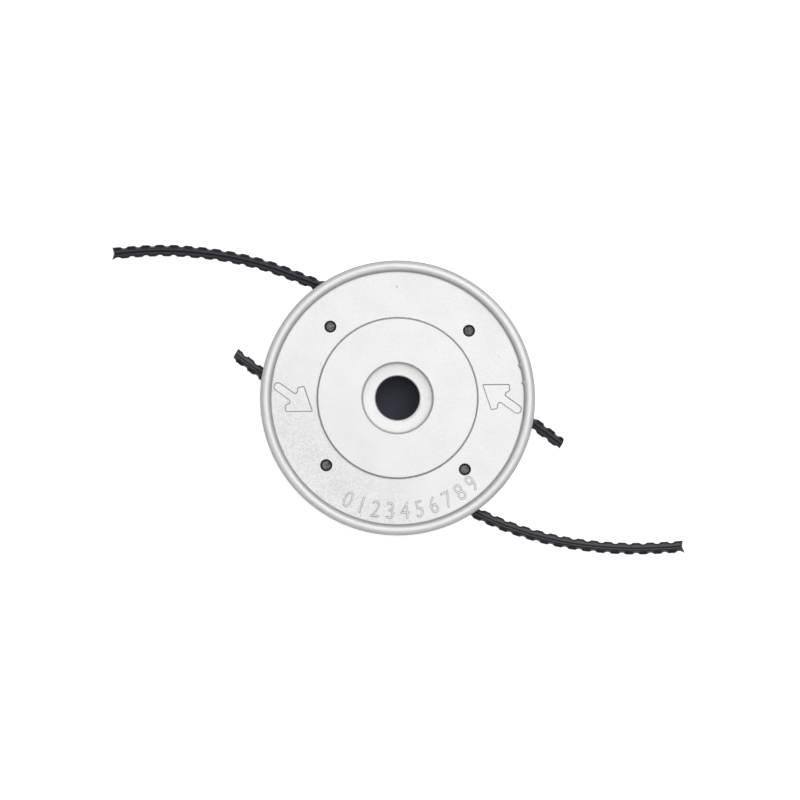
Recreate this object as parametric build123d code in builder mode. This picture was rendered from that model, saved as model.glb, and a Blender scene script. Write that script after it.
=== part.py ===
from build123d import *
import math
import os

# Fixed line trimmer head, in millimetres.
# Two die-cast halves are screwed together, and two nylon lines run right through between them.
# +Z points from the gearbox side to the ground side, and the origin is the middle of the hub face.

# Widths of the head
head_diameter = 115.0
joint_draft = 1.0
cover_taper = 1.5
wall_thickness = 4.0
core_draft = 0.5

# Heights of the two halves
hub_rise = 3.0
cover_plate = 4.0
cover_core_depth = 6.0
ground_core_depth = 6.0
ground_plate = 4.0

# Hub, from the gearbox pilot to the washer seat
hub_face_diameter = 50.0
hub_face_flank = 0.4
pilot_diameter = 25.4
hub_wall = 5.3
shaft_hole_diameter = 18.5
washer_recess_diameter = 29.6
washer_recess_depth = 3.0
washer_recess_root = 0.8
washer_seat_thickness = 4.2
register_wall = 2.2
register_height = 2.5
register_clearance = 0.15

# Ground face
bead_width = 4.6
bead_rise = 3.0
bead_round = 2.2
disc_diameter = 67.0
disc_rise = 2.0
disc_flank = 0.4

# Machined edges are broken, and cast ones are rounded
edge_break = 0.4
bead_root = 0.4
root_round = 1.5
shoulder_round = 4.0

# Screws that join the halves, M5 by 14
screw_count = 4
screw_circle_diameter = 82.0
screw_angle = 43.3
screw_diameter = 5.0
screw_length = 14.0
screw_head_diameter = 9.5
screw_head_height = 3.5
screw_head_chamfer = 1.2
screw_tip_chamfer = 0.8
cross_width = 1.2
cross_length = 4.4
cross_depth = 2.2
cross_taper = 10.0
cross_turn = 25.0
thread_clearance = 0.05
screw_hole_clearance = 0.25
screw_well_clearance = 0.5
boss_wall = 3.4
well_wall = 2.6

# Stiffening ribs inside the halves
rib_count = 8
rib_thickness = 3.0
rib_setback = 1.0

# Toothed channels that the lines run through
channel_angle = -33.5
channel_offset = 22.9
channel_diameter = 7.0
channel_wall = 2.6
tooth_count = 9
tooth_pitch = 5.8
tooth_depth = 0.75
tooth_ramp = 2.6
tooth_tip = 0.4
tooth_back = 0.3
mouth_length = 15.0
mouth_flare_radius = 66.0
mouth_overrun = 4.0

# Nylon lines, their diameter taken half-way between the crests and the core of their section
line_diameter = 4.2
bend_share = 0.45

# Routes of the lines at the height of the joint, each from its long free end to its short end
right_line_points = [
    (118.9, -61.8),
    (104.0, -63.3),
    (88.0, -62.6),
    (71.5, -60.3),
    (56.5, -56.6),
    (42.3, -51.9),
    (26.3, -44.5),
    (10.6, -34.8),
    (-14.6, -18.4),
    (-37.9, -2.9),
    (-54.2, 8.2),
    (-67.3, 17.9),
]
left_line_points = [
    (-118.5, 60.9),
    (-103.5, 61.9),
    (-86.8, 61.4),
    (-70.1, 58.5),
    (-54.2, 54.6),
    (-40.8, 50.5),
    (-26.2, 44.5),
    (-10.6, 34.8),
    (14.6, 18.4),
    (37.9, 2.9),
    (54.5, -8.3),
    (68.6, -18.5),
]

# Levels, worked up from the hub face
cover_face_z = hub_rise
cover_inner_z = cover_face_z + cover_plate
joint_z = cover_inner_z + cover_core_depth
ground_inner_z = joint_z + ground_core_depth
ground_face_z = ground_inner_z + ground_plate
disc_z = ground_face_z + disc_rise
crown_z = ground_face_z + bead_rise
recess_floor_z = disc_z - washer_recess_depth
web_z = recess_floor_z - washer_seat_thickness
register_z = joint_z + register_height

# Radii, worked in from the rim and out from the shaft
head_radius = head_diameter / 2
joint_radius = head_radius - joint_draft
wall_radius = joint_radius - wall_thickness
core_radius = wall_radius - core_draft
mid_wall_radius = joint_radius - wall_thickness / 2
bead_inner_radius = head_radius - bead_width
disc_radius = disc_diameter / 2
recess_radius = washer_recess_diameter / 2
shaft_hole_radius = shaft_hole_diameter / 2
pilot_radius = pilot_diameter / 2
register_radius = pilot_radius + register_wall
register_seat_radius = register_radius + register_clearance
hub_radius = pilot_radius + hub_wall
mid_hub_radius = (hub_radius + register_seat_radius) / 2
hub_face_radius = hub_face_diameter / 2

# Screws, holes and channels
screw_circle_radius = screw_circle_diameter / 2
screw_radius = screw_diameter / 2
screw_well_radius = screw_head_diameter / 2 + screw_well_clearance
ground_boss_radius = screw_radius + boss_wall
cover_boss_radius = screw_well_radius + well_wall
channel_radius = channel_diameter / 2
channel_block_width = channel_diameter + 2 * channel_wall


def revolved_section(rows, plane=Plane.XZ):
    """Closed half section from rows of radius, height and corner rounding."""
    with BuildSketch(plane) as section:
        with BuildLine():
            FilletPolyline(
                *[(radius, height) for radius, height, rounding in rows],
                radius=[rounding for radius, height, rounding in rows],
                close=True,
            )
        make_face()
    return section.sketch


def channel_plane(side):
    """Plane along the axis of one channel, X away from its line's long end; side is 1 or -1."""
    along = Vector(side, 0, 0).rotate(Axis.Z, channel_angle)
    outward = Vector(0, side, 0).rotate(Axis.Z, channel_angle)
    middle = outward * channel_offset + Vector(0, 0, joint_z)
    return Plane(origin=middle, x_dir=along, z_dir=outward * -1)


def channel_section(plane):
    """Half section of a channel: saw teeth in its middle and a trumpet mouth at each end.

    Each tooth ramps up from the long end's side, so a line goes in easily,
    and its steep back holds the line against the pull of the long end.
    """
    half_chord = math.sqrt(head_radius**2 - channel_offset**2)
    mouth_start = half_chord - mouth_length
    mouth_end = half_chord + mouth_overrun
    flare_run = mouth_end - mouth_start
    flare_rise = mouth_flare_radius - math.sqrt(mouth_flare_radius**2 - flare_run**2)
    mouth_radius = channel_radius + flare_rise
    tooth_radius = channel_radius - tooth_depth
    teeth = []
    for index in range(tooth_count):
        tip = (index - (tooth_count - 1) / 2) * tooth_pitch
        teeth += [
            (tip - tooth_ramp, channel_radius),
            (tip, tooth_radius),
            (tip + tooth_tip, tooth_radius),
            (tip + tooth_tip + tooth_back, channel_radius),
        ]
    with BuildSketch(plane) as section:
        with BuildLine():
            Polyline((-mouth_start, channel_radius), *teeth, (mouth_start, channel_radius))
            RadiusArc((mouth_start, channel_radius), (mouth_end, mouth_radius), -mouth_flare_radius)
            RadiusArc((-mouth_end, mouth_radius), (-mouth_start, channel_radius), -mouth_flare_radius)
            Polyline(
                (-mouth_end, mouth_radius),
                (-mouth_end, 0),
                (mouth_end, 0),
                (mouth_end, mouth_radius),
            )
        make_face()
    return section.sketch


def add_core_blocks(base_z, height, boss_radius, rib_base_z):
    """Bosses, channel blocks and ribs inside a half, from the plane at base_z upwards."""
    with BuildSketch(Plane.XY.offset(base_z)) as bosses:
        with PolarLocations(screw_circle_radius, screw_count, start_angle=screw_angle):
            Circle(boss_radius)
        Circle(mid_wall_radius, mode=Mode.INTERSECT)
    extrude(bosses.sketch, amount=height)
    with BuildSketch(Plane.XY.offset(base_z).rotated((0, 0, channel_angle))) as blocks:
        with GridLocations(0, 2 * channel_offset, 1, 2):
            Rectangle(head_diameter, channel_block_width)
        Circle(mid_wall_radius, mode=Mode.INTERSECT)
    extrude(blocks.sketch, amount=height)
    with BuildSketch(Plane.XY.offset(rib_base_z)) as ribs:
        with PolarLocations(mid_hub_radius, rib_count, start_angle=screw_angle):
            Rectangle(
                mid_wall_radius - mid_hub_radius,
                rib_thickness,
                align=(Align.MIN, Align.CENTER),
            )
    extrude(ribs.sketch, amount=height - rib_setback)


def cut_channels():
    """Both round channels, cut through the walls, blocks and ribs of a half."""
    for side in (1, -1):
        plane = channel_plane(side)
        revolve(
            channel_section(plane),
            axis=Axis(plane.origin, plane.x_dir),
            mode=Mode.SUBTRACT,
        )


# Ground-side half: rim bead, raised disc, washer seat and the upper half of each channel
with BuildPart() as ground_casting:
    ground_section = [
        (shaft_hole_radius, web_z, 0),
        (register_seat_radius, web_z, 0),
        (register_seat_radius, joint_z, 0),
        (hub_radius, joint_z, 0),
        (hub_radius, ground_inner_z, 0),
        (core_radius, ground_inner_z, root_round),
        (wall_radius, joint_z, 0),
        (joint_radius, joint_z, 0),
        (head_radius, ground_inner_z, 0),
        (head_radius, crown_z, bead_round),
        (bead_inner_radius, crown_z, bead_round),
        (bead_inner_radius, ground_face_z + bead_root, 0),
        (bead_inner_radius - bead_root, ground_face_z, 0),
        (disc_radius + disc_flank, ground_face_z, 0),
        (disc_radius, disc_z - edge_break, 0),
        (disc_radius - edge_break, disc_z, 0),
        (recess_radius + edge_break, disc_z, 0),
        (recess_radius, disc_z - edge_break, 0),
        (recess_radius, recess_floor_z + washer_recess_root, 0),
        (recess_radius - washer_recess_root, recess_floor_z, 0),
        (shaft_hole_radius + edge_break, recess_floor_z, 0),
        (shaft_hole_radius, recess_floor_z - edge_break, 0),
    ]
    revolve(revolved_section(ground_section), axis=Axis.Z)
    add_core_blocks(
        base_z=joint_z,
        height=ground_core_depth,
        boss_radius=ground_boss_radius,
        rib_base_z=joint_z + rib_setback,
    )
    cut_channels()
    with Locations(Plane.XY.offset(ground_face_z)):
        with PolarLocations(screw_circle_radius, screw_count, start_angle=screw_angle):
            Hole(screw_radius + thread_clearance, depth=ground_face_z - joint_z)
ground_casting.part.label = "ground_casting"

# Gearbox-side half: hub face, pilot bore and register, screw wells and the lower half of each channel
with BuildPart() as gearbox_cover:
    cover_section = [
        (pilot_radius, edge_break, 0),
        (pilot_radius + edge_break, 0, 0),
        (hub_face_radius - edge_break, 0, 0),
        (hub_face_radius, edge_break, 0),
        (hub_face_radius + hub_face_flank, cover_face_z, 0),
        (joint_radius - cover_taper, cover_face_z, shoulder_round),
        (joint_radius, joint_z, 0),
        (wall_radius, joint_z, 0),
        (core_radius, cover_inner_z, root_round),
        (hub_radius, cover_inner_z, 0),
        (hub_radius, joint_z, 0),
        (register_radius, joint_z, 0),
        (register_radius, register_z, 0),
        (pilot_radius, register_z, 0),
    ]
    revolve(revolved_section(cover_section), axis=Axis.Z)
    add_core_blocks(
        base_z=cover_inner_z,
        height=cover_core_depth,
        boss_radius=cover_boss_radius,
        rib_base_z=cover_inner_z,
    )
    cut_channels()
    with Locations(Plane(origin=(0, 0, cover_face_z), x_dir=(1, 0, 0), z_dir=(0, 0, -1))):
        with PolarLocations(screw_circle_radius, screw_count, start_angle=-screw_angle):
            CounterBoreHole(
                screw_radius + screw_hole_clearance,
                screw_well_radius,
                counter_bore_depth=cover_plate,
            )
gearbox_cover.part.label = "gearbox_cover"

# Pan-head screws with a cross recess, driven in from the gearbox side
screw_section = [
    (0, -screw_head_height, 0),
    (screw_head_diameter / 2 - screw_head_chamfer, -screw_head_height, 0),
    (screw_head_diameter / 2, screw_head_chamfer - screw_head_height, 0),
    (screw_head_diameter / 2, 0, 0),
    (screw_radius, 0, 0),
    (screw_radius, screw_length - screw_tip_chamfer, 0),
    (screw_radius - screw_tip_chamfer, screw_length, 0),
    (0, screw_length, 0),
]
screws = []
for index in range(screw_count):
    angle = screw_angle + index * 360 / screw_count
    axis_point = Vector(screw_circle_radius, 0, cover_inner_z).rotate(Axis.Z, angle)
    cross_direction = Vector(1, 0, 0).rotate(Axis.Z, cross_turn * (index + 1))
    with BuildPart() as cover_screw:
        section_plane = Plane(origin=axis_point, x_dir=(1, 0, 0), z_dir=(0, -1, 0))
        revolve(
            revolved_section(screw_section, section_plane),
            axis=Axis(axis_point, (0, 0, 1)),
        )
        head_top = axis_point - Vector(0, 0, screw_head_height)
        with BuildSketch(Plane(origin=head_top, x_dir=cross_direction, z_dir=(0, 0, 1))):
            Rectangle(cross_length, cross_width)
            Rectangle(cross_width, cross_length)
        extrude(amount=cross_depth, taper=cross_taper, mode=Mode.SUBTRACT)
    cover_screw.part.label = f"cover_screw_{index + 1}"
    screws.append(cover_screw.part)


def trimmer_line(label, points):
    """Round nylon line along its route of straight runs and tangent arcs."""
    route = [Vector(x, y, joint_z) for x, y in points]
    radii = []
    for before, corner, after in zip(route, route[1:], route[2:]):
        turn = math.radians((corner - before).get_angle(after - corner))
        shorter_run = min((corner - before).length, (after - corner).length)
        radii.append(bend_share * shorter_run / math.tan(turn / 2))
    with BuildPart() as line:
        with BuildLine() as path:
            FilletPolyline(*route, radius=radii)
        with BuildSketch(Plane(origin=path.line @ 0, z_dir=path.line % 0)):
            Circle(line_diameter / 2)
        sweep(path=path.line)
    line.part.label = label
    length = sum(edge.length for edge in path.edges())
    section_area = math.pi * (line_diameter / 2) ** 2
    print(label, "arc radii", [round(radius) for radius in radii])
    print(label, "length", round(length, 1), "volume share", line.part.volume / (length * section_area))
    return line.part


lines = [
    trimmer_line("trimmer_line_right", right_line_points),
    trimmer_line("trimmer_line_left", left_line_points),
]

os.makedirs("parts", exist_ok=True)
for piece in [ground_casting.part, gearbox_cover.part, *screws, *lines]:
    export_step(piece, f"parts/{piece.label}.step")
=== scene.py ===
# %% [markdown]
# A fixed line trimmer head in Blender
#
# The head is two silver-painted die castings, screwed together round two black nylon lines.
# Its construction comes from the CAD model, which is loaded as a fixed frame in metres: origin in the
# middle of the hub face, +Z up to the ground side, +X right and +Y up in the photograph.
# This lesson gives each piece its surface: cast signs and grain, threads, and serrated lines.

# %% Load the frame
import math

import bmesh
import bpy
from mathutils import Matrix, Vector


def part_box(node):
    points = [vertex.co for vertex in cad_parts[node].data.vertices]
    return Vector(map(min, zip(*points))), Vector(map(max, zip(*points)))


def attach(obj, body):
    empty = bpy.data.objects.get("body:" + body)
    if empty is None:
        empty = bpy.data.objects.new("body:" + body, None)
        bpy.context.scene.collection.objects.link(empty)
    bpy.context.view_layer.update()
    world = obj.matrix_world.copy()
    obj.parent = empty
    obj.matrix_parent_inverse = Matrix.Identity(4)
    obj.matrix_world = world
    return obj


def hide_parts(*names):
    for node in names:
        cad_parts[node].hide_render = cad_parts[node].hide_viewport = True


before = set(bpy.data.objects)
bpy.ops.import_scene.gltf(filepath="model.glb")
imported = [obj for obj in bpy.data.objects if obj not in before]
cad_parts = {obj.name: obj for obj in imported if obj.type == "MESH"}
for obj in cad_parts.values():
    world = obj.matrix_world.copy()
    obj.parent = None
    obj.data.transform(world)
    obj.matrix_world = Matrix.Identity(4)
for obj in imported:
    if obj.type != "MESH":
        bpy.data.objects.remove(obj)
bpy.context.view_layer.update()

MM = 0.001

# %% [markdown]
# Levels and radii from the frame
#
# Pieces that sit on the castings take their places from the CAD boxes, so nothing is fitted by eye.
# The few sizes that a box can't give, such as the height of the flat ground face under the rim bead,
# are written here once, in millimetres on the real head.

# %% Levels and radii
GROUND_LOW, GROUND_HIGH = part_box("ground_casting")
JOINT_Z = GROUND_LOW.z
CROWN_Z = GROUND_HIGH.z
HEAD_RADIUS = GROUND_HIGH.x
BEAD_WIDTH = 4.6 * MM
BEAD_RISE = 3.0 * MM
DISC_RISE = 2.0 * MM
SEAT_DEPTH = 3.0 * MM
FACE_Z = CROWN_Z - BEAD_RISE
SEAT_FLOOR_Z = FACE_Z + DISC_RISE - SEAT_DEPTH
print("joint", JOINT_Z, "face", FACE_Z, "seat floor", SEAT_FLOOR_Z, "head radius", HEAD_RADIUS)

# %% [markdown]
# Camera
#
# The circles of the head are concentric to half a pixel, so the photographer stood the camera straight
# above it. One pixel is 0.418 mm on the ground face. A long lens from three metres keeps the lines,
# which lie lower than the face, at nearly the same scale.

# %% Photograph scale and camera
PHOTO_PIXELS = 800
PIXEL = 0.418 * MM
HEAD_PIXEL_X = 397.6
HEAD_PIXEL_Y = 398.0
CAMERA_HEIGHT = 3.0
CLIP_NEAR = 0.1
CLIP_FAR = 20.0


def photo_point(pixel_x, pixel_y):
    """X and Y in metres of a pixel of the photograph."""
    return (pixel_x - HEAD_PIXEL_X) * PIXEL, (HEAD_PIXEL_Y - pixel_y) * PIXEL


def link_object(name, data):
    """A new object with this data, linked to the scene."""
    obj = bpy.data.objects.new(name, data)
    bpy.context.scene.collection.objects.link(obj)
    return obj


camera_data = bpy.data.cameras.new("camera")
camera = link_object("camera", camera_data)
camera_x, camera_y = photo_point(PHOTO_PIXELS / 2, PHOTO_PIXELS / 2)
camera.location = (camera_x, camera_y, FACE_Z + CAMERA_HEIGHT)
camera_data.lens = camera_data.sensor_width * CAMERA_HEIGHT / (PHOTO_PIXELS * PIXEL)
camera_data.clip_start = CLIP_NEAR
camera_data.clip_end = CLIP_FAR
bpy.context.scene.camera = camera
print("lens", round(camera_data.lens), "mm")

# %% [markdown]
# Shared surface effects
#
# A cast surface, a phosphated screw and an extruded line all have a fine unevenness that catches light.
# One node group makes it from two noises of different size, and each material places it with its own
# scale. A picture of grain would need a UV map on every casting, and noise needs none. The group puts
# out a height for a Bump node and a mask that shifts colour and roughness a little.


# %% Helpers for nodes
def set_inputs(node, inputs):
    """Feeds each input from another node's output, or sets it to a number or colour."""
    for name, value in inputs.items():
        if isinstance(value, bpy.types.NodeSocket):
            node.id_data.links.new(value, node.inputs[name])
        else:
            node.inputs[name].default_value = value


def add_node(nodes, kind, inputs, **settings):
    """A new node; its settings come first, because they decide which inputs it has."""
    node = nodes.new(kind)
    for name, value in settings.items():
        setattr(node, name, value)
    set_inputs(node, inputs)
    return node


def calculate(nodes, operation, *values, clamp=False):
    """The result of a Math node."""
    inputs = dict(enumerate(values))
    node = add_node(nodes, "ShaderNodeMath", inputs, operation=operation, use_clamp=clamp)
    return node.outputs[0]


def add_noise(nodes, vector, scale, detail, roughness=0.5):
    """The grey of a noise texture, about 0 to 1."""
    inputs = {"Vector": vector, "Scale": scale, "Detail": detail, "Roughness": roughness}
    return add_node(nodes, "ShaderNodeTexNoise", inputs).outputs["Fac"]


# %% Fine unevenness as a node group
FINE_DETAIL = 4.0
FINE_ROUGHNESS = 0.65
SLOW_DETAIL = 3.0
SLOW_SHARE = 0.06


def make_grain_group():
    """Fine grain: a height and a slower mask, both about 0 to 1."""
    group = bpy.data.node_groups.new("fine_grain", "ShaderNodeTree")
    group.interface.new_socket(name="Vector", in_out="INPUT", socket_type="NodeSocketVector")
    group.interface.new_socket(name="Scale", in_out="INPUT", socket_type="NodeSocketFloat")
    group.interface.new_socket(name="Height", in_out="OUTPUT", socket_type="NodeSocketFloat")
    group.interface.new_socket(name="Mask", in_out="OUTPUT", socket_type="NodeSocketFloat")
    nodes = group.nodes
    source = nodes.new("NodeGroupInput").outputs
    slow_scale = calculate(nodes, "MULTIPLY", source["Scale"], SLOW_SHARE)
    fine = add_noise(nodes, source["Vector"], source["Scale"], FINE_DETAIL, FINE_ROUGHNESS)
    slow = add_noise(nodes, source["Vector"], slow_scale, SLOW_DETAIL)
    add_node(nodes, "NodeGroupOutput", {"Height": fine, "Mask": slow})
    return group


GRAIN_GROUP = make_grain_group()
print("group", GRAIN_GROUP.name, "has", len(GRAIN_GROUP.nodes), "nodes")


# %% Helpers for materials
GRAIN_STOPS = (0.35, 0.65)


def new_material(name):
    """A material, its nodes and its Principled shader."""
    material = bpy.data.materials.new(name)
    material.use_nodes = True
    nodes = material.node_tree.nodes
    return material, nodes, nodes["Principled BSDF"]


def add_grain(nodes, vector, scale):
    """The outputs of the fine grain group, placed in a material."""
    inputs = {"Vector": vector, "Scale": scale}
    return add_node(nodes, "ShaderNodeGroup", inputs, node_tree=GRAIN_GROUP).outputs


def colour_ramp(nodes, factor, low, high, stops=GRAIN_STOPS):
    """A colour that runs from low to high between two stops of a factor."""
    ramp = add_node(nodes, "ShaderNodeValToRGB", {"Fac": factor})
    for element, stop, colour in zip(ramp.color_ramp.elements, stops, (low, high)):
        element.position = stop
        element.color = colour
    return ramp.outputs["Color"]


def mix_colours(nodes, mask, below, above):
    """One colour where a mask is 0 and another where it is 1."""
    inputs = {"Factor": mask, "A": below, "B": above}
    return add_node(nodes, "ShaderNodeMix", inputs, data_type="RGBA").outputs["Result"]


def value_range(nodes, factor, low, high):
    """A factor of 0 to 1 spread between two values."""
    inputs = {"Value": factor, "To Min": low, "To Max": high}
    return add_node(nodes, "ShaderNodeMapRange", inputs).outputs["Result"]


def fade(nodes, value, start, end):
    """A smooth step from 0 where a value is at its start to 1 at its end."""
    inputs = {"Value": value, "From Min": start, "From Max": end}
    step = add_node(nodes, "ShaderNodeMapRange", inputs, interpolation_type="SMOOTHSTEP")
    return step.outputs["Result"]


def add_bump(nodes, height, distance, strength):
    """A normal bumped by a height, over a distance in metres."""
    inputs = {"Height": height, "Distance": distance, "Strength": strength}
    return add_node(nodes, "ShaderNodeBump", inputs).outputs["Normal"]


def report_material(material):
    """Prints a material's name and its number of nodes."""
    print("material", material.name, "has", len(material.node_tree.nodes), "nodes")


# %% [markdown]
# Silver paint
#
# The castings are sprayed silver: bright, half metallic, with the orange-peel grain of a die casting,
# and with painted shade that makes the steep walls duller than the faces. The surface's own normal
# tells the walls from the faces. Two masks are painted over it by place: the thin dark joint between
# the castings, too narrow for a groove in the mesh, and painted shade in fine specks on the low face at
# the lower left.

# %% Mask of the joint line
SEAM_COLOUR = (0.05, 0.05, 0.05, 1)
SEAM_HALF_WIDTH = 0.12 * MM
SEAM_INNER_RADIUS = 35.0 * MM


def add_seam(nodes, place):
    """A mask of 1 on the thin line where the two castings meet, outside the hub."""
    level = add_node(nodes, "ShaderNodeSeparateXYZ", {"Vector": place}).outputs["Z"]
    reach = add_node(nodes, "ShaderNodeVectorMath", {0: place}, operation="LENGTH").outputs["Value"]
    on_joint = calculate(nodes, "COMPARE", level, JOINT_Z, SEAM_HALF_WIDTH)
    outside = calculate(nodes, "GREATER_THAN", reach, SEAM_INNER_RADIUS)
    return calculate(nodes, "MULTIPLY", on_joint, outside, clamp=True)


# %% Mask of the speckled shade at the lower left
# These set painted shade in fine specks, darkest on the low face at the lower left of the head.
SPECKLED_SHADE_COLOUR = (0.69, 0.688, 0.68, 1)
SPECKLED_SHADE_SIDE = Vector((-1, -1, 0)).normalized()
SPECKLED_SHADE_START = 5.0 * MM
SPECKLED_SHADE_FULL = 48.0 * MM
SPECKLED_SHADE_TOP = FACE_Z + 3.0 * MM
SPECKLED_SHADE_BOTTOM = FACE_Z + 1.0 * MM
SPECKLED_SHADE_SCALE = 1500.0
SPECKLED_SHADE_DETAIL = 2.0
SPECKLED_SHADE_STOPS = (0.38, 0.66)


def add_speckled_shade(nodes, place, upward):
    """A mask of painted shade in fine specks on the low, upward faces, darkest at the lower left of the
    head.
    """
    level = add_node(nodes, "ShaderNodeSeparateXYZ", {"Vector": place}).outputs["Z"]
    inputs = {0: place, 1: SPECKLED_SHADE_SIDE}
    side = add_node(nodes, "ShaderNodeVectorMath", inputs, operation="DOT_PRODUCT").outputs["Value"]
    specks = fade(nodes, add_noise(nodes, place, SPECKLED_SHADE_SCALE, SPECKLED_SHADE_DETAIL), *SPECKLED_SHADE_STOPS)
    spread = fade(nodes, side, SPECKLED_SHADE_START, SPECKLED_SHADE_FULL)
    low_faces = fade(nodes, level, SPECKLED_SHADE_TOP, SPECKLED_SHADE_BOTTOM)
    where = calculate(nodes, "MULTIPLY", spread, low_faces, clamp=True)
    thick = calculate(nodes, "MULTIPLY", specks, upward, clamp=True)
    return calculate(nodes, "MULTIPLY", where, thick, clamp=True)


# %% Silver paint on cast aluminium
# The first colour is painted shade, which replaces the paint's own colour on the steep walls.
PAINT_WALL_SHADE = (0.46, 0.46, 0.455, 1)
PAINT_LOW = (0.815, 0.815, 0.815, 1)
PAINT_HIGH = (0.86, 0.86, 0.86, 1)
WALL_SHADE_STOPS = (0.35, 0.97)
PAINT_GRAIN_SCALE = 1500.0
PAINT_ROUGHNESS = (0.48, 0.58)
PAINT_BUMP = 0.16 * MM
PAINT_BUMP_STRENGTH = 0.5
PAINT_METALLIC = 0.4


def make_silver_paint():
    """Silver paint, with painted shade that darkens the steep walls."""
    material, nodes, shader = new_material("silver_cast_paint")
    place = nodes.new("ShaderNodeTexCoord").outputs["Object"]
    normal = nodes.new("ShaderNodeNewGeometry").outputs["Normal"]
    upward = add_node(nodes, "ShaderNodeSeparateXYZ", {"Vector": normal}).outputs["Z"]
    # The mask below is 1 on faces that point up and falls to 0 on steep walls, which take the painted
    # shade.
    cover = fade(nodes, calculate(nodes, "ABSOLUTE", upward), *WALL_SHADE_STOPS)
    grain = add_grain(nodes, place, PAINT_GRAIN_SCALE)
    unshaded_paint = colour_ramp(nodes, grain["Height"], PAINT_LOW, PAINT_HIGH)
    paint = mix_colours(nodes, cover, PAINT_WALL_SHADE, unshaded_paint)
    # Painted shade in specks darkens the low face towards the lower left.
    speckle_shaded = mix_colours(nodes, add_speckled_shade(nodes, place, upward), paint, SPECKLED_SHADE_COLOUR)
    colour = mix_colours(nodes, add_seam(nodes, place), speckle_shaded, SEAM_COLOUR)
    bump = add_bump(nodes, grain["Height"], PAINT_BUMP, PAINT_BUMP_STRENGTH)
    roughness = value_range(nodes, grain["Mask"], *PAINT_ROUGHNESS)
    set_inputs(shader, {"Base Color": colour, "Roughness": roughness, "Normal": bump})
    set_inputs(shader, {"Metallic": PAINT_METALLIC})
    return material


SILVER_PAINT = make_silver_paint()
report_material(SILVER_PAINT)

# %% [markdown]
# Phosphated steel
#
# The screws are dull, dark grey steel under a coating of fine phosphate crystals. A plain grey with
# bump alone would leave out the crystals' own change of colour, so the same grain drives both, and
# more strongly than on the paint.

# %% Phosphated steel
STEEL_DARK = (0.035, 0.035, 0.038, 1)
STEEL_LIGHT = (0.22, 0.22, 0.225, 1)
STEEL_GRAIN_SCALE = 1300.0
STEEL_BUMP = 0.2 * MM
STEEL_BUMP_STRENGTH = 0.6
STEEL_METALLIC = 0.6
STEEL_ROUGHNESS = 0.55


def make_phosphated_steel():
    """Dark grey steel with the grain of its phosphate coating."""
    material, nodes, shader = new_material("phosphated_steel")
    place = nodes.new("ShaderNodeTexCoord").outputs["Object"]
    grain = add_grain(nodes, place, STEEL_GRAIN_SCALE)
    colour = colour_ramp(nodes, grain["Height"], STEEL_DARK, STEEL_LIGHT)
    bump = add_bump(nodes, grain["Height"], STEEL_BUMP, STEEL_BUMP_STRENGTH)
    set_inputs(shader, {"Base Color": colour, "Normal": bump})
    set_inputs(shader, {"Metallic": STEEL_METALLIC, "Roughness": STEEL_ROUGHNESS})
    return material


PHOSPHATED_STEEL = make_phosphated_steel()
report_material(PHOSPHATED_STEEL)

# %% [markdown]
# Black nylon
#
# The lines are satin black nylon with a faint blue cast, and extrusion leaves fine streaks along them.
# Noise on Object coordinates would run straight through a bend, so this material follows a UV map
# that runs along each line, and squeezes the grain across it.

# %% Black nylon with streaks along the line
NYLON_DARK = (0.0035, 0.004, 0.0085, 1)
NYLON_LIGHT = (0.016, 0.0175, 0.030, 1)
NYLON_STRETCH = (60.0, 900.0, 1.0)
NYLON_GRAIN_SCALE = 2.0
NYLON_ROUGHNESS = (0.32, 0.46)
NYLON_BUMP = 0.05 * MM
NYLON_BUMP_STRENGTH = 0.5
NYLON_SPECULAR = 0.47


def make_black_nylon():
    """Satin black nylon; its UV map is in metres, along the line and around it."""
    material, nodes, shader = new_material("black_nylon")
    along = add_node(nodes, "ShaderNodeUVMap", {}, uv_map="along_line").outputs["UV"]
    inputs = {"Vector": along, "Scale": NYLON_STRETCH}
    streaks = add_node(nodes, "ShaderNodeMapping", inputs).outputs["Vector"]
    grain = add_grain(nodes, streaks, NYLON_GRAIN_SCALE)
    colour = colour_ramp(nodes, grain["Mask"], NYLON_DARK, NYLON_LIGHT)
    roughness = value_range(nodes, grain["Height"], *NYLON_ROUGHNESS)
    bump = add_bump(nodes, grain["Height"], NYLON_BUMP, NYLON_BUMP_STRENGTH)
    set_inputs(shader, {"Base Color": colour, "Roughness": roughness, "Normal": bump})
    set_inputs(shader, {"Specular IOR Level": NYLON_SPECULAR})
    return material


BLACK_NYLON = make_black_nylon()
report_material(BLACK_NYLON)

# %% [markdown]
# The routes of the lines
#
# Nylon this thick is stiff, so each line lies in one long smooth bend. A NURBS spline draws such a bend
# from a few listed points: the route of the CAD model, moved a little where the photograph shows the
# line beside it. A bevelled curve could carry only one plain section, so the mesh is built on points
# that Blender reads from the spline instead.

# %% Routes of the lines
RIGHT_LINE_POINTS = [
    (0.1193, -0.0623),
    (0.1040, -0.0634),
    (0.0880, -0.0629),
    (0.0715, -0.0610),
    (0.0565, -0.0575),
    (0.0423, -0.0527),
    (0.0263, -0.0450),
    (0.0106, -0.0348),
    (-0.0146, -0.0184),
    (-0.0379, -0.0029),
    (-0.0542, 0.0079),
    (-0.0681, 0.0185),
]
LEFT_LINE_POINTS = [
    (-0.1190, 0.0606),
    (-0.1035, 0.0621),
    (-0.0868, 0.0615),
    (-0.0701, 0.0593),
    (-0.0542, 0.0554),
    (-0.0408, 0.0503),
    (-0.0262, 0.0446),
    (-0.0106, 0.0348),
    (0.0146, 0.0184),
    (0.0379, 0.0029),
    (0.0545, -0.0087),
    (0.0689, -0.0195),
]
ROUTE_RESOLUTION = 32
ROUTE_ORDER = 3
STATION_STEP = 0.3 * MM


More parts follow.
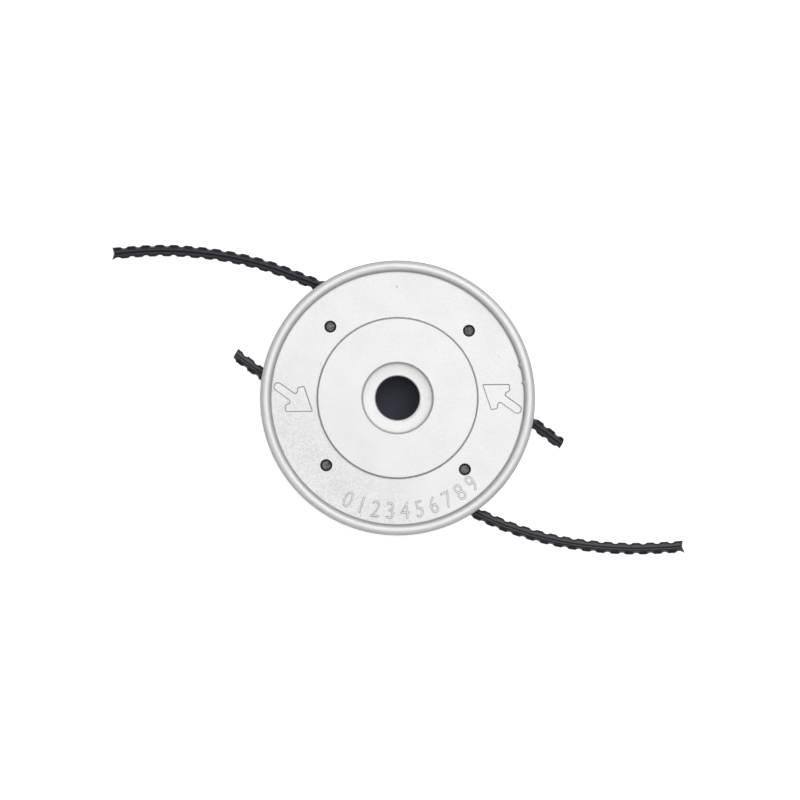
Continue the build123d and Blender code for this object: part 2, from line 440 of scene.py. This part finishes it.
# %% Read evenly spaced stations from a route's spline
def spline_points(name, points):
    """The points that Blender gives for the route's own NURBS spline."""
    curve = bpy.data.curves.new(name, "CURVE")
    curve.dimensions = "3D"
    curve.resolution_u = ROUTE_RESOLUTION
    spline = curve.splines.new("NURBS")
    spline.points.add(len(points) - 1)
    for point, (x, y) in zip(spline.points, points):
        point.co = (x, y, JOINT_Z, 1)
    spline.order_u = ROUTE_ORDER
    spline.use_endpoint_u = True
    holder = link_object(name, curve)
    bpy.context.view_layer.update()
    mesh = bpy.data.meshes.new_from_object(holder)
    found = [vertex.co.copy() for vertex in mesh.vertices]
    bpy.data.objects.remove(holder)
    bpy.data.meshes.remove(mesh)
    print(name, "has", len(found), "points")
    return found


def even_stations(path, step):
    """Distances, places and directions at even steps along a path, and the path's length."""
    reached = [0.0]
    for before, after in zip(path, path[1:]):
        reached.append(reached[-1] + (after - before).length)
    length = reached[-1]
    count = round(length / step)
    stations = []
    piece = 0
    for index in range(count + 1):
        distance = length * index / count
        while piece < len(path) - 2 and reached[piece + 1] < distance:
            piece += 1
        run = path[piece + 1] - path[piece]
        share = (distance - reached[piece]) / run.length
        stations.append((distance, path[piece] + run * share, run.normalized()))
    return stations, length


# %% [markdown]
# The serrated section
#
# The line is extruded through a star-shaped die and then rolled, so it has four ridges, and its two
# side ridges carry scooped notches that alternate from side to side. Copies of one toothed piece would
# show their joints, so a formula gives the radius at each angle and distance instead. Inside the head
# the saw teeth of the channels press the bumps flat.

# %% Section of the line
LINE_DIAMETER = 4.2 * MM
CREST_RADIUS = 2.5 * MM
CORE_RADIUS = 1.83 * MM
RIDGE_RADIUS = 2.0 * MM
FURROW_RADIUS = 1.45 * MM
PRESSED_RADIUS = 2.15 * MM
PRESSED_REACH = 44.0 * MM
SECTION_ROLL = math.radians(25)
STAR_POWER = 1.6
SIDE_RIDGE_START = 0.7
NOTCH_PITCH = 5.93 * MM
NOTCH_SHARE = 0.5
NOTCH_POWER = 0.8
BURR_RUN = 15.0 * MM
BURR_PLACE = 0.27
BURR_WIDTH = 0.05
BURR_HEIGHT = 0.22 * MM


def notch_depth(distance, phase):
    """How far a side ridge is scooped out at this distance, from 0 to 1."""
    share = (distance / NOTCH_PITCH + phase) % 1.0
    across = (share - 0.5) / (NOTCH_SHARE / 2)
    return max(0.0, 1.0 - across**2) ** NOTCH_POWER


def burr_height(distance, phase, length):
    """A small burr where a bump begins, near the short end alone."""
    share = (distance / NOTCH_PITCH + phase) % 1.0
    near = max(0.0, 1 - abs(share - BURR_PLACE) / BURR_WIDTH)
    return BURR_HEIGHT * near if length - distance < BURR_RUN else 0.0


def section_point(angle, distance, phase, length, pressed):
    """Sideways and upward offsets of one point of the ring."""
    star = abs(math.cos(2 * (angle - SECTION_ROLL))) ** STAR_POWER
    radius = FURROW_RADIUS + (RIDGE_RADIUS - FURROW_RADIUS) * star
    side_weight = max(0.0, abs(math.cos(angle)) - SIDE_RIDGE_START) / (1 - SIDE_RIDGE_START)
    side_phase = phase if math.cos(angle) > 0 else phase + 0.5
    tip = CREST_RADIUS - (CREST_RADIUS - CORE_RADIUS) * notch_depth(distance, side_phase)
    tip += burr_height(distance, side_phase, length)
    if pressed:
        tip = min(tip, PRESSED_RADIUS)
    radius += (tip - radius) * side_weight
    return radius * math.cos(angle), radius * math.sin(angle)


# %% [markdown]
# Rings, skin and cut ends
#
# A ring of points is set across the line at each station and joined to the next by a strip of faces.
# Near an end the points are pushed along the line too. Pliers squeezed the long end off, so its corners
# stand out past a hollow middle, one as a thin whisker. A blade cut the short end at a slant and
# bruised one corner. A UV map in metres runs along and around the line for the streaks.

# %% Cut ends
CUT_RUN = 1.5 * MM
HOLLOW_DEPTH = 0.3 * MM
CORNER_REACH = 0.75 * MM
WHISKER_REACH = 0.6 * MM
WHISKER_SPREAD = 0.15
CUT_SLANT = 0.25 * MM
CUT_ROUNDING = 0.7 * MM


def end_shift(distance, length, side, whisker):
    """How far a point is pushed along the line, so that the ends look cut."""
    near_start = max(0.0, 1 - distance / CUT_RUN)
    near_end = max(0.0, 1 - (length - distance) / CUT_RUN)
    hollow = HOLLOW_DEPTH - CORNER_REACH * side**2 - WHISKER_REACH * max(0.0, side * whisker) ** 4
    cut = CUT_SLANT * side - CUT_ROUNDING * max(0.0, -side) ** 3
    return near_start * hollow + near_end * cut


# %% Rings, skin and end faces
RING_POINTS = 32
RING_STEP = math.pi * LINE_DIAMETER / RING_POINTS
UP = Vector((0, 0, 1))


def add_ring(shape, station, length, phase, whisker):
    """The points of the section at one station."""
    distance, centre, direction = station
    side = direction.cross(UP).normalized()
    near_start = max(0.0, 1 - distance / CUT_RUN)
    pressed = centre.xy.length < PRESSED_REACH
    ring = []
    for index in range(RING_POINTS):
        angle = 2 * math.pi * index / RING_POINTS
        across, rise = section_point(angle, distance, phase, length, pressed)
        share = across / CREST_RADIUS
        forward = end_shift(distance, length, share, whisker)
        across *= 1 + WHISKER_SPREAD * near_start**2 * max(0.0, share * whisker) ** 3
        ring.append(shape.verts.new(centre + side * across + UP * rise + direction * forward))
    return ring


def add_skin(shape, uv_layer, rings, distances):
    """Faces between neighbouring rings, with their UV map."""
    for row in range(len(rings) - 1):
        for index in range(RING_POINTS):
            corners = ((row, index), (row, index + 1), (row + 1, index + 1), (row + 1, index))
            face = shape.faces.new([rings[station][turn % RING_POINTS] for station, turn in corners])
            for loop, (station, turn) in zip(face.loops, corners):
                loop[uv_layer].uv = (distances[station], turn * RING_STEP)


def add_end(shape, uv_layer, ring, centre, distance):
    """A fan of faces that closes one end."""
    middle = shape.verts.new(sum((vertex.co for vertex in ring), Vector()) / RING_POINTS)
    for index in range(RING_POINTS):
        face = shape.faces.new((ring[index], ring[(index + 1) % RING_POINTS], middle))
        for loop in face.loops:
            loop[uv_layer].uv = (distance, (loop.vert.co - centre).length)


# %% [markdown]
# Finished pieces
#
# Blender's operators act on whatever is selected, so each helper first clears the selection. A piece
# is finished when its object is at the origin with its place in its mesh, like a CAD node. It then
# gets its material and body, and the plain CAD piece that it stands for is hidden.


# %% Select, smooth and finish a piece
def select_only(*objects):
    """Selects these objects alone; the first is the active one."""
    bpy.ops.object.select_all(action="DESELECT")
    for obj in objects:
        obj.select_set(True)
    bpy.context.view_layer.objects.active = objects[0]


def smooth_by_angle(obj, degrees):
    """Shades an object smooth, apart from edges that turn by more than an angle."""
    select_only(obj)
    bpy.ops.object.shade_smooth_by_angle(angle=math.radians(degrees))


def finish_piece(obj, slot, material, *replaced):
    """Gives a new piece its material and body, and hides the CAD nodes it stands for; slot is not used.
    """
    obj.data.materials.clear()
    obj.data.materials.append(material)
    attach(obj, "root")
    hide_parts(*replaced)
    print(obj.name, len(obj.data.vertices), "points", len(obj.data.polygons), "faces")


# %% Build the serrated lines
LINE_SMOOTH_DEGREES = 40
RIGHT_LINE_PHASE = 0.75
LEFT_LINE_PHASE = 0.24


def make_line(name, node, points, phase, whisker):
    """A serrated line; whisker is the side, 1 or -1, of the long end's thin corner."""
    path = spline_points(name + "_route", points)
    stations, length = even_stations(path, STATION_STEP)
    obj = link_object(name, bpy.data.meshes.new(name))
    shape = bmesh.new()
    uv_layer = shape.loops.layers.uv.new("along_line")
    rings = [add_ring(shape, station, length, phase, whisker) for station in stations]
    add_skin(shape, uv_layer, rings, [station[0] for station in stations])
    add_end(shape, uv_layer, rings[0], stations[0][1], 0.0)
    add_end(shape, uv_layer, rings[-1], stations[-1][1], length)
    bmesh.ops.recalc_face_normals(shape, faces=shape.faces)
    shape.to_mesh(obj.data)
    shape.free()
    smooth_by_angle(obj, LINE_SMOOTH_DEGREES)
    finish_piece(obj, "black_nylon", BLACK_NYLON, node)
    print(name, "length", round(length / MM, 1), "mm")


make_line("serrated_line_right", "trimmer_line_right", RIGHT_LINE_POINTS, RIGHT_LINE_PHASE, -1)
make_line("serrated_line_left", "trimmer_line_left", LEFT_LINE_POINTS, LEFT_LINE_PHASE, 1)

# %% [markdown]
# The ground casting and its arrows
#
# The CAD solid has the casting's form. The die also left two sunken arrows that show which way the head
# turns. They could be bump alone, but then they would vanish from the side, so a block with the arrow's
# outline is cut out of a merged copy of the CAD mesh by a Boolean modifier. The block tapers, because
# a casting leaves its die only if each wall slants a little.

# %% Copy the casting
SAME_PLACE = 1e-7


def merge_points(obj, distance, turn_outwards=True):
    """Merges the points that lie together, and can turn the faces outwards."""
    select_only(obj)
    bpy.ops.object.mode_set(mode="EDIT")
    bpy.ops.mesh.select_all(action="SELECT")
    bpy.ops.mesh.remove_doubles(threshold=distance)
    if turn_outwards:
        bpy.ops.mesh.normals_make_consistent(inside=False)
    bpy.ops.object.mode_set(mode="OBJECT")


def merged_copy(node_name, piece_name):
    """A copy of a CAD node with its loose triangles merged at their corners."""
    obj = link_object(piece_name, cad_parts[node_name].data.copy())
    select_only(obj)
    bpy.ops.mesh.customdata_custom_splitnormals_clear()
    merge_points(obj, SAME_PLACE, turn_outwards=False)
    return obj


def report_closed(obj):
    """Prints a mesh's volume and how many of its edges don't join exactly two faces."""
    shape = bmesh.new()
    shape.from_mesh(obj.data)
    loose = sum(len(edge.link_faces) != 2 for edge in shape.edges)
    print(obj.name, round(shape.calc_volume() / MM**3, 1), "mm3,", loose, "loose edges")
    shape.free()


ground = merged_copy("ground_casting", "ground_half")
report_closed(ground)


# %% Arrow outline, in millimetres along +X with its tip at zero
ARROW_BARB = (-9.5, 6.8)
ARROW_HEEL = (-11.35, 4.6)
ARROW_ROOT = -10.15
ARROW_TAIL = -20.1
ARROW_SHAFT_HALF = 1.95
ARROW_TAIL_RADIUS = ARROW_SHAFT_HALF - 0.01
ARROW_CORNER = 0.6
ARROW_FILLET = 0.7
CORNER_STEPS = 5


def rounded_outline(corners):
    """Points of a closed outline whose corners, each (x, y, radius), are rounded by arcs."""
    points = []
    for index, (x, y, radius) in enumerate(corners):
        corner = Vector((x, y))
        before = (Vector(corners[index - 1][:2]) - corner).normalized()
        after = (Vector(corners[(index + 1) % len(corners)][:2]) - corner).normalized()
        half = before.angle(after) / 2
        middle = corner + (before + after).normalized() * radius / math.sin(half)
        first = corner + before * radius / math.tan(half) - middle
        last = corner + after * radius / math.tan(half) - middle
        turn = first.angle_signed(last)
        for step in range(CORNER_STEPS + 1):
            spoke = first.to_3d()
            spoke.rotate(Matrix.Rotation(-turn * step / CORNER_STEPS, 3, "Z"))
            points.append((middle + spoke.to_2d()) * MM)
    return points


def arrow_outline():
    """The upper half's corners, mirrored for the lower half, with the tip between them."""
    upper = [
        (*ARROW_BARB, ARROW_CORNER),
        (*ARROW_HEEL, ARROW_CORNER),
        (ARROW_ROOT, ARROW_SHAFT_HALF, ARROW_FILLET),
        (ARROW_TAIL, ARROW_SHAFT_HALF, ARROW_TAIL_RADIUS),
    ]
    lower = [(along, -across, radius) for along, across, radius in reversed(upper)]
    return rounded_outline([(0.0, 0.0, ARROW_CORNER)] + upper + lower)


# %% Tapered block
FACING_SHARE = 0.9


def select_faces(obj, wanted):
    """Goes into edit mode with only those faces selected that pass the test."""
    mesh = obj.data
    mesh.vertices.foreach_set("select", [False] * len(mesh.vertices))
    mesh.edges.foreach_set("select", [False] * len(mesh.edges))
    for face in mesh.polygons:
        face.select = wanted(face)
    bpy.context.scene.tool_settings.mesh_select_mode = (False, False, True)
    bpy.ops.object.mode_set(mode="EDIT")


def make_tapered_block(name, outline, straight, taper, inset):
    """A closed block on a flat outline: straight to one side of it and tapered to the other.

    straight is the height of the straight side, below zero for a side that goes down.
    """
    mesh = bpy.data.meshes.new(name)
    mesh.from_pydata([(x, y, 0) for x, y in outline], [], [list(range(len(outline)))])
    obj = link_object(name, mesh)
    select_only(obj)
    bpy.ops.object.mode_set(mode="EDIT")
    bpy.ops.mesh.select_all(action="SELECT")
    bpy.ops.mesh.extrude_region_move(TRANSFORM_OT_translate={"value": (0, 0, straight)})
    bpy.ops.mesh.select_all(action="SELECT")
    bpy.ops.mesh.normals_make_consistent(inside=False)
    bpy.ops.object.mode_set(mode="OBJECT")
    select_faces(obj, lambda face: face.normal.z * straight < -FACING_SHARE * abs(straight))
    bpy.ops.mesh.inset(thickness=inset, depth=taper)
    bpy.ops.object.mode_set(mode="OBJECT")
    return obj


# %% Place a solid and combine it with the casting
def place_in_mesh(obj):
    """Moves an object's place, turn and scale into its mesh."""
    select_only(obj)
    bpy.ops.object.transform_apply(location=True, rotation=True, scale=True)


def apply_modifier(obj, kind, **settings):
    """Adds one modifier with these settings and applies it."""
    modifier = obj.modifiers.new(kind.title(), kind)
    for name, value in settings.items():
        setattr(modifier, name, value)
    select_only(obj)
    bpy.ops.object.modifier_apply(modifier=modifier.name)


def combine_with_ground(obj, operation):
    """Joins a solid to the ground casting or cuts it out, and removes the solid."""
    apply_modifier(ground, "BOOLEAN", operation=operation, object=obj, solver="MANIFOLD")
    bpy.data.objects.remove(obj)


# %% Cut the arrows
ARROW_TIP = Vector((-35.25, -5.85)) * MM
ARROW_ANGLE = math.radians(-35.5)
POCKET_DEPTH = 0.7 * MM
POCKET_DRAFT = 0.5 * MM

for half_turn in (0, math.pi):
    cutter = make_tapered_block(
        "arrow_cutter", arrow_outline(), POCKET_DEPTH, POCKET_DEPTH, POCKET_DRAFT
    )
    spot = ARROW_TIP.to_3d()
    spot.rotate(Matrix.Rotation(half_turn, 3, "Z"))
    cutter.rotation_euler = (0, 0, ARROW_ANGLE + half_turn)
    cutter.location = (spot.x, spot.y, FACE_Z)
    place_in_mesh(cutter)
    report_closed(cutter)
    combine_with_ground(cutter, "DIFFERENCE")
report_closed(ground)

# %% [markdown]
# Raised numerals
#
# A row of plain counting numbers, as on a dial, stands up from the face along an arc. Each could be
# drawn point by point, but Blender's own font gives clean outlines. So each numeral is a text object
# with a small bevel, thinned a little, made into a mesh, stretched upwards for steep walls and turned
# to its place on the arc.

# %% Raise the numerals
NUMERALS = "0123456789"
NUMERAL_HEIGHT = 7.4 * MM
NUMERAL_RADIUS = 50.6 * MM
NUMERAL_FIRST = math.radians(-116.0)
NUMERAL_LAST = math.radians(-49.0)
NUMERAL_RISE = 0.6 * MM
NUMERAL_SUNK = 0.8 * MM
NUMERAL_SQUEEZE = 0.82
NUMERAL_THINNING = -0.24 * MM
NUMERAL_EDGE = 0.24 * MM
NUMERAL_STEEPNESS = 2.4
NUMERAL_RESOLUTION = 6
NUMERAL_MERGE = 1e-6
CAP_SHARE = 0.73


def make_numeral_mesh(text):
    """One numeral lying flat at the origin, as a mesh."""
    bpy.ops.object.text_add()
    obj = bpy.context.view_layer.objects.active
    obj.data.body = text
    obj.data.align_x = "CENTER"
    obj.data.size = NUMERAL_HEIGHT / CAP_SHARE
    obj.data.resolution_u = NUMERAL_RESOLUTION
    obj.data.offset = NUMERAL_THINNING
    obj.data.extrude = (NUMERAL_RISE + NUMERAL_SUNK) / 2 / NUMERAL_STEEPNESS - NUMERAL_EDGE
    obj.data.bevel_depth = NUMERAL_EDGE
    obj.data.bevel_resolution = 0
    bpy.ops.object.convert(target="MESH")
    return bpy.context.view_layer.objects.active


def make_numeral(text, angle):
    """One raised numeral, its foot on the arc and its top towards the hub."""
    obj = make_numeral_mesh(text)
    middle_z = FACE_Z + (NUMERAL_RISE - NUMERAL_SUNK) / 2
    obj.scale = (NUMERAL_SQUEEZE, 1, NUMERAL_STEEPNESS)
    obj.rotation_euler = (0, 0, angle + math.pi / 2)
    obj.location = (NUMERAL_RADIUS * math.cos(angle), NUMERAL_RADIUS * math.sin(angle), middle_z)
    place_in_mesh(obj)
    merge_points(obj, NUMERAL_MERGE)
    report_closed(obj)
    return obj


numerals = []
for position, text in enumerate(NUMERALS):
    share = position / (len(NUMERALS) - 1)
    numerals.append(make_numeral(text, NUMERAL_FIRST + (NUMERAL_LAST - NUMERAL_FIRST) * share))
select_only(*numerals)
bpy.ops.object.join()
combine_with_ground(bpy.context.view_layer.objects.active, "UNION")
report_closed(ground)

# %% [markdown]
# Casting faults
#
# Die casting leaves small faults, and the photograph shows a few. In two places the root of the bead
# steps inwards and slowly runs out again: that is a short stretch of the bead's own profile, spun round
# the axis and turned a little about its far end. A smear of flash lies against the disc, a shallow arc
# is scored beside the bore, and the face has two pits.

# %% Spin a short stretch of a profile
SECTOR_STEPS = 6


def make_sector(name, profile, first_degrees, last_degrees):
    """A closed solid: a flat profile of (radius, height) spun round the axis between two angles."""
    corners = [(radius, 0, height) for radius, height in profile]
    mesh = bpy.data.meshes.new(name)
    mesh.from_pydata(corners, [], [list(range(len(corners)))])
    obj = link_object(name, mesh)
    obj.rotation_euler = (0, 0, math.radians(first_degrees))
    place_in_mesh(obj)
    bpy.ops.object.mode_set(mode="EDIT")
    bpy.ops.mesh.select_all(action="SELECT")
    bpy.ops.mesh.spin(
        steps=SECTOR_STEPS,
        angle=math.radians(first_degrees - last_degrees),
        center=(0, 0, 0),
        axis=(0, 0, 1),
    )
    bpy.ops.object.mode_set(mode="OBJECT")
    merge_points(obj, SAME_PLACE)
    report_closed(obj)
    return obj


# %% Flash at the root of the bead
BEAD_MIDDLE = HEAD_RADIUS - BEAD_WIDTH / 2
BEAD_ARC_STEPS = 12
FLASH_HEIGHT = 2.5 * MM
FLASH_SUNK = -0.4 * MM
BEAD_FLASHES = [
    ((517.0, 363.2), (520.5, 370.0), 1.0 * MM),
    ((520.0, 379.8), (522.9, 385.0), 1.2 * MM),
]


def bead_profile():
    """Half an ellipse as wide as the bead, a little lower than it, with its foot sunk in the face."""
    points = [(BEAD_MIDDLE - BEAD_WIDTH / 2, FACE_Z + FLASH_SUNK)]
    for step in range(BEAD_ARC_STEPS + 1):
        turn = math.pi * (1 - step / BEAD_ARC_STEPS)
        out = BEAD_MIDDLE + BEAD_WIDTH / 2 * math.cos(turn)
        points.append((out, FACE_Z + FLASH_HEIGHT * math.sin(turn)))
    points.append((BEAD_MIDDLE + BEAD_WIDTH / 2, FACE_Z + FLASH_SUNK))
    return points


def pixel_degrees(pixel):
    """The angle round the head's axis of a pixel of the photograph."""
    x, y = photo_point(*pixel)
    return math.degrees(math.atan2(y, x))


for first_pixel, last_pixel, reach in BEAD_FLASHES:
    first = pixel_degrees(first_pixel)
    last = pixel_degrees(last_pixel)
    flash = make_sector("flash", bead_profile(), first, last)
    far_end = Matrix.Rotation(math.radians(last), 4, "Z") @ Vector((BEAD_MIDDLE, 0, 0))
    swing = Matrix.Rotation(reach / (BEAD_MIDDLE * math.radians(first - last)), 4, "Z")
    flash.matrix_world = Matrix.Translation(far_end) @ swing @ Matrix.Translation(-far_end)
    place_in_mesh(flash)
    combine_with_ground(flash, "UNION")

# %% Smear of flash against the disc
SMEAR_PIXELS = [(318.9, 362.0), (324.5, 361.5), (321.6, 371.5)]
SMEAR_HEIGHT = 0.2 * MM
SMEAR_INSET = 0.42 * MM

smear_outline = [photo_point(*pixel) for pixel in SMEAR_PIXELS]
smear = make_tapered_block("smear", smear_outline, FLASH_SUNK, SMEAR_HEIGHT, SMEAR_INSET)
smear.location.z = FACE_Z
place_in_mesh(smear)
report_closed(smear)
combine_with_ground(smear, "UNION")

# %% A scored arc beside the bore, and two pits
SCORE_RADIUS = 24.3 * PIXEL
SCORE_HALF_WIDTH = 0.22 * MM
SCORE_DEPTH = 0.12 * MM
SCORE_ABOVE = 0.1 * MM
SCORE_DEGREES = (-12.0, -78.0)
PIT_SPOTS = [((396.7, 286.7), 0.45 * MM), ((498.6, 356.7), 0.25 * MM)]
PIT_SUBDIVISIONS = 2

score_profile = [
    (SCORE_RADIUS - SCORE_HALF_WIDTH, SEAT_FLOOR_Z + SCORE_ABOVE),
    (SCORE_RADIUS, SEAT_FLOOR_Z - SCORE_DEPTH),
    (SCORE_RADIUS + SCORE_HALF_WIDTH, SEAT_FLOOR_Z + SCORE_ABOVE),
]
combine_with_ground(make_sector("score", score_profile, *SCORE_DEGREES), "DIFFERENCE")
for pit_pixel, pit_radius in PIT_SPOTS:
    bpy.ops.mesh.primitive_ico_sphere_add(
        subdivisions=PIT_SUBDIVISIONS, radius=pit_radius, location=(*photo_point(*pit_pixel), FACE_Z)
    )
    combine_with_ground(bpy.context.view_layer.objects.active, "DIFFERENCE")
report_closed(ground)

# %% [markdown]
# Shading of the casting
#
# The die is slightly rounded where a wall meets a face, so the root of the bead and of the washer seat
# is shaded as a hollow: the sharp mark is taken off the circle where the slanting root meets the flat.
# A bevel could round it in the mesh too, but on a root under a millimetre wide shading is enough.
# Weighted normals then keep the large faces flat up to their edges.

# %% Smooth the ground casting and put it in place
WASHER_SEAT_RADIUS = 14.8 * MM
BEAD_ROOT_RUN = 0.4 * MM
SEAT_ROOT_RUN = 0.8 * MM
ROOT_CIRCLES = [
    (HEAD_RADIUS - BEAD_WIDTH - BEAD_ROOT_RUN, FACE_Z),
    (WASHER_SEAT_RADIUS - SEAT_ROOT_RUN, SEAT_FLOOR_Z),
]
ON_CIRCLE = 0.02 * MM
CASTING_SMOOTH_DEGREES = 32
FLAT_FACE_WEIGHT = 80


def soften_circle(obj, radius, height):
    """Takes the sharp mark off the edges that lie on one circle round the axis."""
    on_circle = [
        abs(vertex.co.xy.length - radius) < ON_CIRCLE and abs(vertex.co.z - height) < ON_CIRCLE
        for vertex in obj.data.vertices
    ]
    softened = 0
    for edge in obj.data.edges:
        if on_circle[edge.vertices[0]] and on_circle[edge.vertices[1]]:
            edge.use_edge_sharp = False
            softened += 1
    print("softened", softened, "edges at radius", round(radius / MM, 1), "mm")


smooth_by_angle(ground, CASTING_SMOOTH_DEGREES)
for radius, height in ROOT_CIRCLES:
    soften_circle(ground, radius, height)
apply_modifier(ground, "WEIGHTED_NORMAL", keep_sharp=True, weight=FLAT_FACE_WEIGHT)
finish_piece(ground, "cast_aluminium", SILVER_PAINT, "ground_casting")

# %% [markdown]
# The gearbox cover
#
# It is the other casting, below the joint, with the hub and the wells of the screw heads. A dressed
# copy could replace it, but its CAD shape is right as it stands, so the node stays and only gets the
# paint.

# %% Paint the gearbox cover
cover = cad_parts["gearbox_cover"]
cover.data.materials.clear()
cover.data.materials.append(SILVER_PAINT)
print(cover.name, "is painted with", SILVER_PAINT.name)

# %% [markdown]
# The screws
#
# The CAD screws have a smooth shank. A helix could be swept and cut out, but the cut is slow and often
# fails where the thread runs out. Here each shank is sliced into thin rings by bisecting planes, and
# the points of the rings are pushed in along a helix, which leaves a true thread on the CAD form.

# %% Cut the threads
SCREW_NUMBERS = range(1, 5)
SHANK_START = 4.2 * MM
SHANK_TOLERANCE = 0.05 * MM
TIP_CHAMFER = 0.8 * MM
THREAD_RADIUS = 2.5 * MM
THREAD_PITCH = 0.8 * MM
THREAD_DEPTH = 0.42 * MM
GROOVE_HALF_SHARE = 0.42
RINGS_PER_PITCH = 6
RING_HEIGHT = THREAD_PITCH / RINGS_PER_PITCH
SCREW_SMOOTH_DEGREES = 30


def slice_shank(screw, axis, start, end):
    """Bisects a screw into thin rings from start to end."""
    select_only(screw)
    bpy.ops.object.mode_set(mode="EDIT")
    for ring in range(round((end - start) / RING_HEIGHT)):
        bpy.ops.mesh.select_all(action="SELECT")
        bpy.ops.mesh.bisect(
            plane_co=(axis.x, axis.y, start + ring * RING_HEIGHT),
            plane_no=(0, 0, 1),
            use_fill=False,
        )
    bpy.ops.object.mode_set(mode="OBJECT")


def press_thread(screw, axis, start, end):
    """Pushes the shank's points in along a helix."""
    for vertex in screw.data.vertices:
        out = Vector((vertex.co.x - axis.x, vertex.co.y - axis.y))
        on_shank = abs(out.length - THREAD_RADIUS) < SHANK_TOLERANCE
        if not on_shank or not start - RING_HEIGHT < vertex.co.z < end - RING_HEIGHT:
            continue
        turn = math.atan2(out.y, out.x) / (2 * math.pi)
        share = (vertex.co.z / THREAD_PITCH - turn) % 1.0
        groove = max(0.0, 1 - abs(share - 0.5) / GROOVE_HALF_SHARE)
        out *= 1 - groove * THREAD_DEPTH / THREAD_RADIUS
        vertex.co.x = axis.x + out.x
        vertex.co.y = axis.y + out.y


def thread_screw(node_name, piece_name):
    """A threaded copy of a CAD screw, which it replaces."""
    screw = merged_copy(node_name, piece_name)
    low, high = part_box(node_name)
    axis = (low + high) / 2
    start = low.z + SHANK_START
    end = high.z - TIP_CHAMFER
    slice_shank(screw, axis, start, end)
    press_thread(screw, axis, start, end)
    smooth_by_angle(screw, SCREW_SMOOTH_DEGREES)
    finish_piece(screw, "phosphated_steel", PHOSPHATED_STEEL, node_name)


for number in SCREW_NUMBERS:
    thread_screw(f"cover_screw_{number}", f"threaded_screw_{number}")

# %% [markdown]
# Floor and dark pad
#
# The head lies on a plain white floor. More light would burn out the paint long before the floor turned
# white, so the floor's own material adds white for the rays that see it, and keeps the shadow. Deep in
# the bore the shade is nearly black, darker than a white floor gives, so a small dark pad under the hub
# paints that shade.

# %% Materials of the floor and the pad
WHITE = (1, 1, 1, 1)
FLOOR_COLOUR = (0.75, 0.75, 0.75, 1)
FLOOR_VEIL = 0.68
# The pad's colour is painted shade for the inside of the bore.
BORE_SHADE_COLOUR = (0.078, 0.083, 0.105, 1)
MATT_ROUGHNESS = 0.9


def make_matt(name, colour):
    """A dull material of one colour, with its nodes and shader."""
    material, nodes, shader = new_material(name)
    set_inputs(shader, {"Base Color": colour, "Roughness": MATT_ROUGHNESS, "Specular IOR Level": 0.0})
    return material, nodes, shader


def make_white_floor():
    """White paper, with a little white added for the rays that see it directly."""
    material, nodes, shader = make_matt("white_paper", FLOOR_COLOUR)
    rays = nodes.new("ShaderNodeLightPath").outputs
    seen = calculate(nodes, "MAXIMUM", rays["Is Camera Ray"], rays["Is Glossy Ray"])
    seen = calculate(nodes, "MAXIMUM", seen, rays["Is Transmission Ray"])
    veil = calculate(nodes, "MULTIPLY", seen, FLOOR_VEIL)
    set_inputs(shader, {"Emission Color": WHITE, "Emission Strength": veil})
    report_material(material)
    return material


# %% Floor and pad
HUB_RADIUS = 25.0 * MM
PAD_INSET = 3.0 * MM
PAD_RADIUS = HUB_RADIUS - PAD_INSET
PAD_THICKNESS = 1.0 * MM
PAD_GAP = 0.05 * MM
PAD_SIDES = 96
FLOOR_SIZE = 8.0

bpy.ops.mesh.primitive_plane_add(size=FLOOR_SIZE, location=(0, 0, -PAD_THICKNESS))
floor = bpy.context.view_layer.objects.active
floor.name = "floor"
floor.data.materials.append(make_white_floor())

bpy.ops.mesh.primitive_cylinder_add(
    vertices=PAD_SIDES,
    radius=PAD_RADIUS,
    depth=PAD_THICKNESS,
    location=(0, 0, -PAD_THICKNESS / 2 - PAD_GAP),
)
pad = bpy.context.view_layer.objects.active
pad.name = "dark_pad"
pad.data.materials.append(make_matt("bore_shade_matt", BORE_SHADE_COLOUR)[0])
print("floor", FLOOR_SIZE, "m wide, pad", round(2 * PAD_RADIUS / MM), "mm wide")

# %% [markdown]
# Light
#
# The shadows in the photograph point to one large soft light a little to the upper right of straight
# above, so one big square lamp stands there. A sky that is bright overhead and dim near the horizon
# fills the shadows, and it leaves the walls darker than the faces, which shows the casting's form.

# %% Sky that is bright overhead
SKY_LOW = (0.10, 0.10, 0.105, 1)
SKY_HIGH = (0.86, 0.86, 0.86, 1)
SKY_STOPS = (0.5, 0.95)


def make_sky():
    """A grey sky that is bright overhead and dim near the horizon."""
    world = bpy.data.worlds.new("overhead_sky")
    world.use_nodes = True
    nodes = world.node_tree.nodes
    direction = nodes.new("ShaderNodeTexCoord").outputs["Generated"]
    height = add_node(nodes, "ShaderNodeSeparateXYZ", {"Vector": direction}).outputs["Z"]
    sky = colour_ramp(nodes, height, SKY_LOW, SKY_HIGH, SKY_STOPS)
    set_inputs(nodes["Background"], {"Color": sky})
    return world


bpy.context.scene.world = make_sky()
bpy.context.scene.view_settings.view_transform = "Standard"
print("sky", SKY_LOW[0], "to", SKY_HIGH[0])

# %% Soft lamp at the upper right
LAMP_PLACE = Vector((0.26, 0.40, 1.58))
LAMP_SIZE = 1.2
LAMP_POWER = 11.8

lamp_data = bpy.data.lights.new("key_lamp", "AREA")
lamp_data.shape = "SQUARE"
lamp_data.size = LAMP_SIZE
lamp_data.energy = LAMP_POWER
lamp = link_object("key_lamp", lamp_data)
lamp.location = LAMP_PLACE
lamp.rotation_mode = "QUATERNION"
lamp.rotation_quaternion = LAMP_PLACE.to_track_quat("Z", "Y")
lamp.visible_camera = False
print("lamp", LAMP_POWER, "W,", round(LAMP_PLACE.length, 2), "m away")

# %% [markdown]
# Finish
#
# A dressed model keeps the size of its construction. The last step brings the scene up to date.

# %% Finish
bpy.context.view_layer.update()
